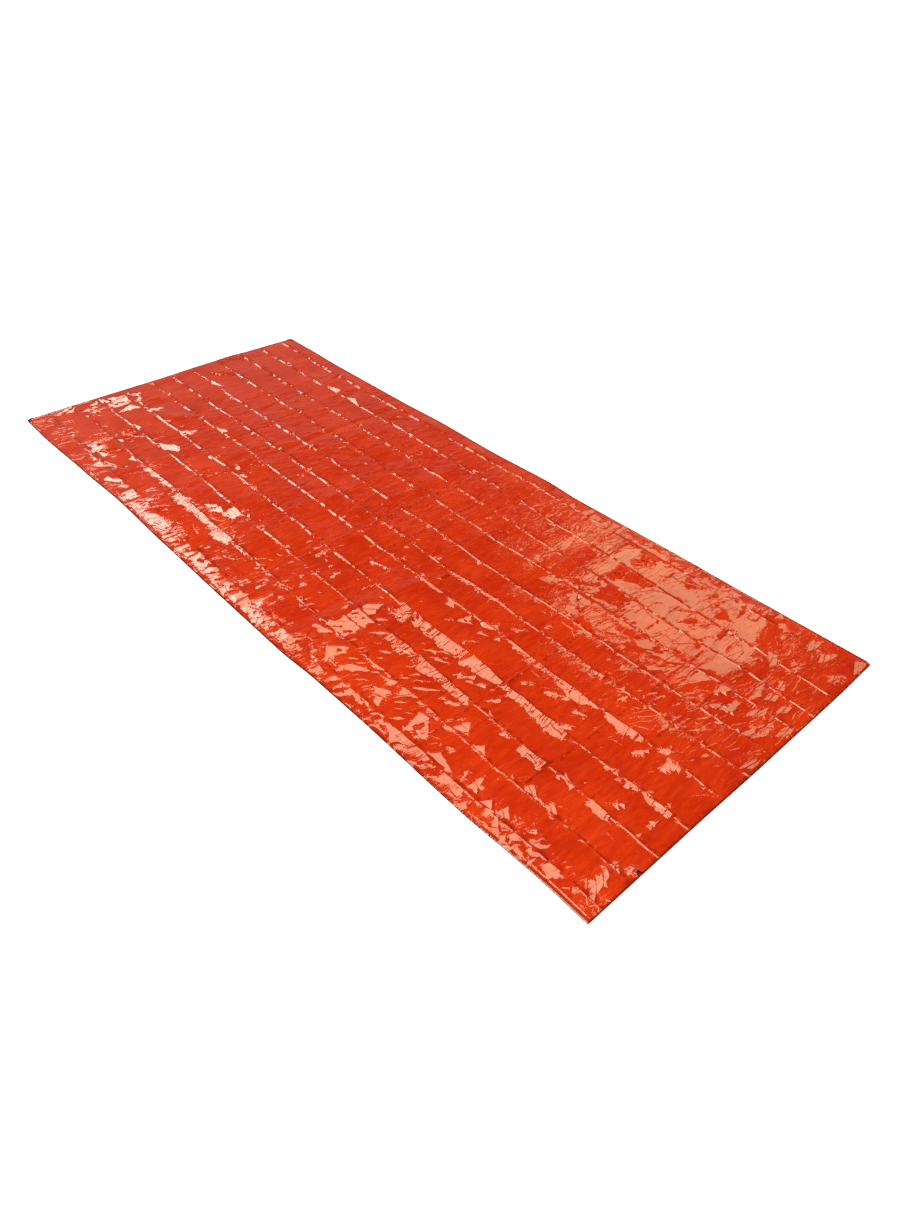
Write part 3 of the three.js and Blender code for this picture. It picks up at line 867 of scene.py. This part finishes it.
def add_cross_folds(sheet, share=1.0):
    rng = draws("cross folds")
    for number, (place, start, end, rise) in enumerate(CROSS_FOLDS):
        across = uneven_steps(rng, start, end, CROSS_STEP)
        line = place + line_value("cross fold", across, number)
        clear = np.abs(panel_edges_at(line) - across[:, None]).min(axis=1) > CROSS_CLEAR
        rises = rise * np.clip(CROSS_MEAN + line_value("cross rise", across, number), CROSS_LEAST, None)
        crest = np.stack([across, line], axis=-1)[clear]
        feet = [((u, v - CROSS_HALF), (u, v + CROSS_HALF)) for u, v in crest]
        sheet.chain(crest, share * rises[clear], feet, [False] * len(crest))


def ridge_relief(across, along):
    """Fine ridges across the panels, with pointed ends."""
    rng = draws("ridges")
    relief = np.zeros_like(across)
    order = np.argsort(along)
    sorted_along = along[order]
    for start, end, count, shortest, longest, half, tallest in RIDGES:
        for _ in range(count):
            spot = rng.uniform(start, end)
            edges = panel_edges_at(spot)
            panel = rng.integers(0, len(edges) - 1)
            left, right = edges[panel:panel + 2]
            length = min(rng.uniform(shortest, longest), right - left)
            begin = rng.choice((left, right - length, rng.uniform(left, right)))
            slant = rng.uniform(-RIDGE_SLANT, RIDGE_SLANT)
            rise = tallest * rng.uniform(*RIDGE_RISES)
            reach = 2.0 * half + abs(slant) * length
            first, last = np.searchsorted(sorted_along, (spot - reach, spot + reach))
            near = order[first:last]
            share = (across[near] - begin) / length
            away = along[near] - spot - slant * (across[near] - begin - length / 2.0)
            body = rise * np.sqrt(np.clip(4.0 * share * (1.0 - share), 0.0, 1.0))
            relief[near] += body * np.clip(1.0 - np.abs(away) / half, 0.0, 1.0)
    return relief


def add_border(sheet, weld_depth, edge_drop):
    """Points along the four edges and along the weld's line."""
    rng = draws("border")
    weld = ((WELD_BAND - WELD_HALF, 0.0), (WELD_BAND, -weld_depth), (WELD_BAND + WELD_HALF, 0.0))
    for v in uneven_steps(rng, 0.0, LENGTH, BORDER_STEP):
        for u in (0.0, WIDTH):
            sheet.add((u, v), -edge_drop)
        for u in (EDGE_HALF, WIDTH - EDGE_HALF):
            if v > EDGE_HALF:
                sheet.add((u, v), 0.0)
        for inset, rise in weld:
            for u in (inset, WIDTH - inset):
                if v > 2.0 * WELD_BAND and not sheet.is_taken((u, v)):
                    sheet.add((u, v), rise)
    for u in uneven_steps(rng, 0.0, WIDTH, BORDER_STEP)[1:-1]:
        for v in (0.0, LENGTH):
            sheet.add((u, v), -edge_drop)
        for v in (EDGE_HALF, LENGTH - EDGE_HALF):
            if EDGE_HALF < u < WIDTH - EDGE_HALF:
                sheet.add((u, v), 0.0)
        for inset, rise in weld:
            if WELD_BAND < u < WIDTH - WELD_BAND and not sheet.is_taken((u, inset)):
                sheet.add((u, inset), rise)


def add_plain_points(sheet, spacing):
    """Uneven points of the film between the folds, most uneven beside the creases."""
    rng = draws("plain")
    along, across = np.mgrid[1:int(LENGTH / spacing[1]), 1:int(WIDTH / spacing[0])]
    along = ((along + rng.uniform(-PLAIN_STRAY[1], PLAIN_STRAY[1], along.shape)) * spacing[1]).ravel()
    across = ((across + rng.uniform(-PLAIN_STRAY[0], PLAIN_STRAY[0], across.shape)) * spacing[0]).ravel()
    near_mouth = smooth(along, *CREST_NARROWS)
    apart = np.abs(panel_edges_at(along) - across[:, None]).min(axis=1)
    beside = 1.0 - smooth(apart, 0.0, between(CRUMPLE_REACH, near_mouth))
    crumple = between((between(CRUMPLE_PLAIN, near_mouth), between(CRUMPLE_BESIDE, near_mouth)), beside)
    rises = ridge_relief(across, along) + crumple * rng.uniform(-1.0, 1.0, len(along))
    rises *= calm_share(across, along)
    inside = np.minimum(np.minimum(across, WIDTH - across), along) > WELD_BAND + WELD_CLEAR
    clear = inside & (along < LENGTH - WELD_CLEAR) & (apart > PLAIN_CLEAR * crest_width(along))
    for place, rise in zip(np.stack([across, along], axis=-1)[clear], rises[clear]):
        if not sheet.is_taken(place):
            sheet.add(place, rise)


def round_corner(a, b, radius):
    """Distances from the two edges of a corner, drawn in so that the corner is round."""
    p, q = np.clip(radius - a, 0.0, None), np.clip(radius - b, 0.0, None)
    length = np.hypot(p, q)
    scale = np.where(length > 0.0, np.maximum(p, q) / np.maximum(length, 1e-9), 1.0)
    near = (p > 0.0) & (q > 0.0)
    return np.where(near, radius - p * scale, a), np.where(near, radius - q * scale, b)


def rounded(across, along):
    """The flat sheet with its four corners rounded."""
    for name, radius in CORNER_RADIUS.items():
        side, end = name.split("_")
        a = across if side == "left" else WIDTH - across
        b = along if end == "foot" else LENGTH - along
        a, b = round_corner(a, b, radius)
        across = a if side == "left" else WIDTH - a
        along = b if end == "foot" else LENGTH - b
    return across, along


def out_at(rows, at):
    """How far an edge stands out at a place along it."""
    places, outs = np.transpose(rows).astype(float)
    high = np.clip(np.searchsorted(places, at), 1, len(rows) - 1)
    return between((outs[high - 1], outs[high]), smooth(at, places[high - 1], places[high]))


def on_floor(across, along):
    """Place on the floor of a point of the flat sheet, in millimetres from the plain rectangle's middle."""
    across, along = rounded(across, along)
    left, right = -out_at(LEFT_OUT, along), WIDTH + out_at(RIGHT_OUT, along)
    foot, mouth = -out_at(FOOT_OUT, across), LENGTH + out_at(MOUTH_OUT, across)
    x = left + (right - left) * across / WIDTH - WIDTH / 2.0
    y = LENGTH / 2.0 - (foot + (mouth - foot) * along / LENGTH)
    return x, y


def outline_middle():
    """Middle of the outline's box, which is the frame's origin."""
    side = np.linspace(0.0, 1.0, OUTLINE_POINTS)
    none, full = np.zeros_like(side), np.ones_like(side)
    across = np.concatenate([side, side, none, full]) * WIDTH
    along = np.concatenate([none, full, side, side]) * LENGTH
    x, y = on_floor(across, along)
    return (x.min() + x.max()) / 2.0, (y.min() + y.max()) / 2.0


MIDDLE = outline_middle()
TO_FRAME = -Vector((*MIDDLE, 0.0)) * MM


def triangulated(sheet):
    """Places, rises, painted shade, triangles and crisp edges of a sheet, with its kept edges."""
    found = delaunay_2d_cdt([Vector(p) for p in sheet.places], sheet.edges, [], 0, SAME_POINT)
    places, edges, triangles, origins, edge_origins = found[:5]
    rises, darks = (np.array([max((values[i] for i in origin), default=0.0) for origin in origins])
                    for values in (sheet.rises, sheet.darks))
    crisp = {tuple(sorted(e)) for e, origin in zip(edges, edge_origins) if not sheet.crisp.isdisjoint(origin)}
    return np.array([tuple(p) for p in places]), rises, darks, [tuple(t) for t in triangles], crisp


def notch_share(across, along):
    """How much of the mouth's small pleat a point takes part in."""
    place, half, back, _ = NOTCH
    across_share = np.clip(1.0 - np.abs(across - place) / half, 0.0, 1.0)
    return across_share * smooth(along, LENGTH - NOTCH_LENGTH * back, LENGTH)


def rim_chain(places):
    """Points of the welded edge in order: up the left side, along the foot and down the right side."""
    across, along = places.T
    on_left, on_right = across < SAME_POINT, across > WIDTH - SAME_POINT
    on_foot = (along < SAME_POINT) & ~on_left & ~on_right
    left = sorted(np.flatnonzero(on_left), key=lambda i: -along[i])
    foot = sorted(np.flatnonzero(on_foot), key=lambda i: across[i])
    right = sorted(np.flatnonzero(on_right), key=lambda i: along[i])
    return left + foot + right


def edge_shade(places):
    """Painted shade along the film's edge: one on its very edge and none inside it."""
    inside = np.minimum(places, (WIDTH, LENGTH) - places).min(axis=1)
    return 1.0 - smooth(inside, *EDGE_SHADE_FADE)


def sheet_mesh(name, points, faces, darks, crisp):
    """A mesh from points in millimetres, smooth but for its sharp folds, with its painted shade and ripples.
    """
    mesh = bpy.data.meshes.new(name)
    placed = (points - (*MIDDLE, 0.0)) * MM
    mesh.from_pydata(placed.tolist(), [], faces)
    mesh.polygons.foreach_set("use_smooth", [True] * len(mesh.polygons))
    mesh.set_sharp_from_angle(angle=SHARP_ANGLE)
    for edge in mesh.edges:
        if tuple(sorted(edge.vertices)) in crisp:
            edge.use_edge_sharp = True
    ripples = calm_share(points[:, 0] + WIDTH / 2.0, LENGTH / 2.0 - points[:, 1], SMOOTH)
    for label, values in (("painted_shade", darks), ("ripples", ripples)):
        mesh.attributes.new(label, "FLOAT", "POINT").data.foreach_set("value", values.astype(np.float32))
    mesh.update()
    return mesh


def front_mesh():
    """The upper film, with all its folds and facets and a thin rim along the weld."""
    sheet = Sheet()
    add_bands(sheet)
    add_placed_facets(sheet)
    add_fringes(sheet)
    add_creases(sheet)
    add_leaves(sheet)
    add_strewn_facets(sheet)
    add_cross_folds(sheet)
    add_border(sheet, WELD_DEPTH, EDGE_DROP)
    add_plain_points(sheet, PLAIN_SPACING)
    places, rises, darks, faces, crisp = triangulated(sheet)
    across, along = places.T
    pleat = notch_share(across, along)
    x, y = on_floor(across, along - NOTCH[2] * pleat)
    z = np.maximum(base_height(places) + rises, FILM_LOWEST) + NOTCH[3] * pleat
    points = np.stack([x, y, z], axis=-1)
    rim = [int(i) for i in rim_chain(places)]
    low = len(points)
    points = np.concatenate([points, points[rim] - (0.0, 0.0, RIM_DROP)])
    faces += [(rim[i], rim[i + 1], low + i + 1, low + i) for i in range(len(rim) - 1)]
    # A thin line of painted shade along the film's edge.
    darks = np.maximum(darks, edge_shade(places))
    return sheet_mesh("front_film", points, faces, np.concatenate([darks, darks[rim]]), crisp)


def back_mesh():
    """The film on the ground, with the same creases, nearly flat."""
    sheet = Sheet()
    add_creases(sheet, BACK_SHARE)
    add_cross_folds(sheet, BACK_SHARE)
    add_border(sheet, 0.0, 0.0)
    add_plain_points(sheet, BACK_SPACING)
    places, rises, darks, faces, crisp = triangulated(sheet)
    x, y = on_floor(*places.T)
    z = np.clip(BACK_BASE + rises, *BACK_LIMITS)
    # A thin line of painted shade along the film's edge.
    darks = np.maximum(darks, edge_shade(places))
    return sheet_mesh("back_film", np.stack([x, y, z - z.min()], axis=-1), faces, darks, crisp)


def new_object(name, data):
    obj = bpy.data.objects.new(name, data)
    bpy.context.scene.collection.objects.link(obj)
    return obj


def feed(tree, node, inputs):
    """Fills some inputs of a node, each with a value or with another node's output."""
    for name, value in inputs.items():
        if isinstance(value, bpy.types.NodeSocket):
            tree.links.new(value, node.inputs[name])
        else:
            node.inputs[name].default_value = value


def new_node(tree, kind, inputs, **settings):
    node = tree.nodes.new("ShaderNode" + kind)
    for name, value in settings.items():
        setattr(node, name, value)
    feed(tree, node, inputs)
    return node


def calculate(tree, operation, *values):
    return new_node(tree, "Math", dict(enumerate(values)), operation=operation).outputs["Value"]


def map_range(tree, value, start, end, low, high):
    """A value from start to end as one from low to high."""
    limits = {"From Min": start, "From Max": end, "To Min": low, "To Max": high}
    return new_node(tree, "MapRange", {"Value": value, **limits}).outputs["Result"]


def colour_ramp(tree, value, stops):
    """A colour by a value, as (position, colour)."""
    node = new_node(tree, "ValToRGB", {"Fac": value})
    elements = node.color_ramp.elements
    while len(elements) < len(stops):
        elements.new(1.0)
    for element, (position, colour) in zip(elements, stops):
        element.position = position
        element.color = (*colour, 1.0)
    return node.outputs["Color"]


def stretched(tree, vector, scale, turn=0.0):
    """Coordinates turned by some degrees and then scaled along and across that turn."""
    inputs = {"Vector": vector, "Rotation": (0.0, 0.0, math.radians(turn)),
              "Scale": (1.0 / scale[0], 1.0 / scale[1], 1.0)}
    return new_node(tree, "Mapping", inputs, vector_type="TEXTURE").outputs["Vector"]


def noise(tree, vector, scale, detail=2.0, output="Fac"):
    return new_node(tree, "TexNoise", {"Vector": vector, "Scale": scale, "Detail": detail}).outputs[output]


def voronoi(tree, vector, feature, output):
    inputs = {"Vector": vector, "Scale": 1.0}
    return new_node(tree, "TexVoronoi", inputs, voronoi_dimensions="2D", feature=feature).outputs[output]


def bump(tree, height, distance=1.0):
    return new_node(tree, "Bump", {"Height": height, "Strength": 1.0, "Distance": distance}).outputs["Normal"]


def mesh_value(tree, label):
    """A value that the mesh has at each point."""
    return new_node(tree, "Attribute", {}, attribute_name=label).outputs["Fac"]


def object_place(tree):
    return new_node(tree, "TexCoord", {}).outputs["Object"]


def shaken(tree, vector, scale, reach):
    """Coordinates shaken by a noise, so that straight edges bend a little."""
    inputs = {0: noise(tree, vector, scale, output="Color"), 1: (reach, reach, 0.0), 2: vector}
    return new_node(tree, "VectorMath", inputs, operation="MULTIPLY_ADD").outputs["Vector"]


def facet_height(tree, vector, turn, cells, slope, power):
    """Flat-sided bumps and dents, one in each cell of an uneven net, in metres."""
    net = stretched(tree, vector, cells, turn)
    edge = voronoi(tree, net, "DISTANCE_TO_EDGE", "Distance")
    parts = new_node(tree, "SeparateColor", {"Color": voronoi(tree, net, "F1", "Color")})
    signed = calculate(tree, "MULTIPLY_ADD", parts.outputs["Red"], 2.0, -1.0)
    amount = calculate(tree, "POWER", calculate(tree, "ABSOLUTE", signed), power)
    amount = calculate(tree, "MULTIPLY", amount, calculate(tree, "SIGN", signed))
    return calculate(tree, "MULTIPLY", calculate(tree, "MULTIPLY", edge, amount), slope / max(cells))


def hairline_height(tree, vector, cells, half, slope):
    """Hairline creases along the edges of an uneven net, broken off here and there, in metres."""
    edge = voronoi(tree, stretched(tree, vector, cells), "DISTANCE_TO_EDGE", "Distance")
    ridge = calculate(tree, "MAXIMUM", calculate(tree, "SUBTRACT", half * max(cells), edge), 0.0)
    broken = calculate(tree, "GREATER_THAN", noise(tree, vector, HAIRLINE_BREAKS), 0.5)
    return calculate(tree, "MULTIPLY", calculate(tree, "MULTIPLY", ridge, broken), slope / max(cells))


def ripple_height(tree, vector, scale, rise):
    """Fine ripples across the bag, in patches, in metres."""
    fold = calculate(tree, "SUBTRACT", noise(tree, stretched(tree, vector, scale), 1.0), 0.5)
    fold = calculate(tree, "ABSOLUTE", fold)
    patch = map_range(tree, noise(tree, vector, RIPPLE_PATCHES), *RIPPLE_RANGE)
    return calculate(tree, "MULTIPLY", calculate(tree, "MULTIPLY", fold, patch), rise)


def wrinkle_lines(tree, vector, scale, half):
    """Thin wavy lines across the film: one on a line and none beside it."""
    level = noise(tree, stretched(tree, vector, scale), 1.0)
    away = calculate(tree, "ABSOLUTE", calculate(tree, "SUBTRACT", level, 0.5))
    near = calculate(tree, "SUBTRACT", 1.0, calculate(tree, "DIVIDE", away, half))
    return calculate(tree, "MAXIMUM", near, 0.0)


def film_height(tree, place, bent):
    """Height of the fine ripples, facets and hairlines."""
    height = ripple_height(tree, bent, *RIPPLES[0])
    height = calculate(tree, "ADD", height, ripple_height(tree, place, *RIPPLES[1]))
    height = calculate(tree, "ADD", height, facet_height(tree, bent, *FINE_FACETS))
    height = calculate(tree, "MULTIPLY", height, mesh_value(tree, "ripples"))
    for vector, hairs in zip((place, bent), HAIRLINES):
        height = calculate(tree, "ADD", height, hairline_height(tree, vector, *hairs))
    return height


def painted_shading(tree, place, bent):
    """How light the film's colour is painted, as painted shading of its undulations and wrinkles: clouds and
    streaks with thin lines of painted shade in patches.
    """
    clouds = calculate(tree, "MULTIPLY", noise(tree, place, SHADING_CLOUDS[0]), SHADING_CLOUDS[1])
    streaks = noise(tree, stretched(tree, bent, SHADING_STREAKS[0]), 1.0)
    shading = calculate(tree, "ADD", clouds, calculate(tree, "MULTIPLY", streaks, SHADING_STREAKS[1]))
    lines = [wrinkle_lines(tree, vector, *line) for vector, line in zip((bent, place), SHADE_LINES)]
    patches = calculate(tree, "MULTIPLY", noise(tree, place, SHADE_LINE_PATCHES[0]), SHADE_LINE_PATCHES[1])
    lines = calculate(tree, "MULTIPLY", calculate(tree, "MAXIMUM", *lines), patches)
    return calculate(tree, "SUBTRACT", shading, lines)


def new_material(name, inputs):
    material = bpy.data.materials.new(name)
    material.use_nodes = True
    feed(material.node_tree, material.node_tree.nodes["Principled BSDF"], inputs)
    return material


def film_material(name):
    """Glossy orange film: a clear coat over a deep orange body, with fine facets, hairlines and ripples, and
    painted shade and shading in its colour.
    """
    material = new_material(name, FILM_GLOSS)
    tree = material.node_tree
    place = object_place(tree)
    bent = shaken(tree, place, *BEND)
    normal = bump(tree, film_height(tree, place, bent))
    # The colour carries painted shading of the film's undulations and wrinkles.
    colour = colour_ramp(tree, painted_shading(tree, place, bent), FILM_SHADING_TONES)
    # Painted shade mixed into the colour where the mesh carries it.
    painted_shade = {"Fac": mesh_value(tree, "painted_shade"), "Color1": colour, "Color2": PAINTED_SHADE_COLOUR}
    colour = new_node(tree, "MixRGB", painted_shade).outputs["Color"]
    feed(tree, tree.nodes["Principled BSDF"], {"Base Color": colour, "Normal": normal, "Coat Normal": normal})
    return material


def tab_material(name):
    """Dull black tape with a fine grain."""
    material = new_material(name, TAB_GLOSS)
    tree = material.node_tree
    grain = noise(tree, object_place(tree), TAB_GRAIN)
    looks = {"Base Color": colour_ramp(tree, grain, TAB_TONES), "Normal": bump(tree, grain, TAB_DEPTH)}
    feed(tree, tree.nodes["Principled BSDF"], looks)
    return material


def make_camera():
    data = bpy.data.cameras.new("camera")
    data.sensor_width = PHOTO_SENSOR
    data.lens = PHOTO_LENS
    camera = new_object("camera", data)
    camera.location = EYE + TO_FRAME
    look = (AIM - EYE).to_track_quat("-Z", "Y").to_matrix()
    camera.rotation_euler = (look @ Matrix.Rotation(ROLL, 3, "Z")).to_euler()
    bpy.context.scene.camera = camera


def new_light(name, kind, hidden_from, **settings):
    """A light that some kinds of rays don't see."""
    data = bpy.data.lights.new(name, kind)
    for key, value in settings.items():
        setattr(data, key, value)
    light = new_object(name, data)
    for rays in hidden_from:
        setattr(light, "visible_" + rays, False)
    return light


def new_softbox(name, size, radiance, colour):
    """An area light that only the film's gloss shows."""
    return new_light(name, "AREA", ("camera", "diffuse"), shape="RECTANGLE", size=size[0], size_y=size[1],
                     energy=math.pi * size[0] * size[1] * radiance, color=colour)


def make_softbox(name):
    """A level softbox with uneven cloth, so that what mirrors it is uneven too."""
    low, high = softbox_corners(name)
    light = new_softbox(name + "_softbox", (high - low).xy, *SOFTBOXES[name][2:])
    light.location = (low + high) / 2.0 + TO_FRAME
    light.data.use_nodes = True
    tree = light.data.node_tree
    cloth = noise(tree, new_node(tree, "NewGeometry", {}).outputs["Parametric"], *CLOTH)
    feed(tree, tree.nodes["Emission"], {"Strength": map_range(tree, cloth, *CLOTH_RANGE)})


def make_side_box(bearing, spread):
    """An upright softbox that faces the bag."""
    angle = math.radians(bearing)
    size = (2.0 * SIDE_DISTANCE * math.tan(math.radians(spread / 2.0)), SIDE_HEIGHTS[1] - SIDE_HEIGHTS[0])
    light = new_softbox("side_softbox", size, SIDE_RADIANCE, SIDE_COLOUR)
    ahead = Vector((math.sin(angle), -math.cos(angle), 0.0)) * SIDE_DISTANCE
    light.location = ahead + Vector((0.0, 0.0, sum(SIDE_HEIGHTS) / 2.0))
    light.rotation_euler = (-light.location).to_track_quat("-Z", "Y").to_euler()


def make_fill(name, strength, spread, elevation, azimuth):
    """A distant light that the film doesn't mirror."""
    light = new_light(name, "SUN", ("glossy",), energy=strength, angle=math.radians(spread))
    light.rotation_euler = (math.radians(90.0 - elevation), 0.0, math.radians(90.0 + azimuth))


def make_near_fill():
    """A broad lamp over the half by the mouth, which the film doesn't mirror."""
    light = new_light("near_fill", "AREA", ("camera", "glossy"), shape="SQUARE", size=NEAR_FILL_SIZE,
                      energy=NEAR_FILL)
    light.location = on_plain_floor(*NEAR_FILL_PLACE)


def make_world():
    """A dim studio: pale by the horizon beyond the bag, dark overhead, before a white backdrop."""
    world = bpy.data.worlds.new("studio")
    bpy.context.scene.world = world
    world.use_nodes = True
    tree = world.node_tree
    place = new_node(tree, "TexCoord", {}).outputs["Generated"]
    height = new_node(tree, "SeparateXYZ", {"Vector": place}).outputs["Z"]
    stops = [(position, [level * part for part in SKY_TINT]) for position, level in SKY_LEVELS]
    clouds = map_range(tree, noise(tree, place, *CLOUDS), *CLOUD_RANGE)
    layers = {"Fac": 1.0, "Color1": colour_ramp(tree, height, stops), "Color2": clouds}
    sky = new_node(tree, "MixRGB", layers, blend_type="ADD").outputs["Color"]
    beyond = new_node(tree, "VectorMath", {0: place, 1: BEYOND}, operation="DOT_PRODUCT").outputs["Value"]
    studio = tree.nodes["Background"]
    feed(tree, studio, {"Color": sky, "Strength": map_range(tree, beyond, *BEYOND_RANGE)})
    backdrop = new_node(tree, "Background", {"Color": WHITE})
    seen = new_node(tree, "LightPath", {}).outputs["Is Camera Ray"]
    shown = new_node(tree, "MixShader", {"Fac": seen, 1: studio.outputs[0], 2: backdrop.outputs[0]})
    feed(tree, tree.nodes["World Output"], {"Surface": shown.outputs["Shader"]})


def make_floor():
    corners = [(x * FLOOR_REACH, y * FLOOR_REACH, 0.0) for x, y in ((-1, -1), (1, -1), (1, 1), (-1, 1))]
    mesh = bpy.data.meshes.new("floor")
    mesh.from_pydata(corners, [], [(0, 1, 2, 3)])
    mesh.materials.append(new_material("floor_white", FLOOR_LOOKS))
    floor = new_object("floor", mesh)
    floor.visible_glossy = False


make_camera()
make_world()
make_fill("fill", *FILL)
make_near_fill()
make_fill("raking_fill", *RAKING_FILL)
for box_name in SOFTBOXES:
    make_softbox(box_name)
for side_box in SIDE_BOXES:
    make_side_box(*side_box)
make_floor()

film = film_material("orange_film")
front = new_object("front_film", front_mesh())
front.data.materials.append(film)
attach(front, "root")
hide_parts("front_sheet")
back = new_object("back_film", back_mesh())
back.data.materials.append(film)
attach(back, "root")
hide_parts("back_sheet")
black = tab_material("black_tab")
for node in ("corner_tab_left", "corner_tab_right"):
    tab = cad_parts[node]
    tab.data.materials.clear()
    tab.data.materials.append(black)

bpy.context.scene.view_settings.view_transform = "Standard"
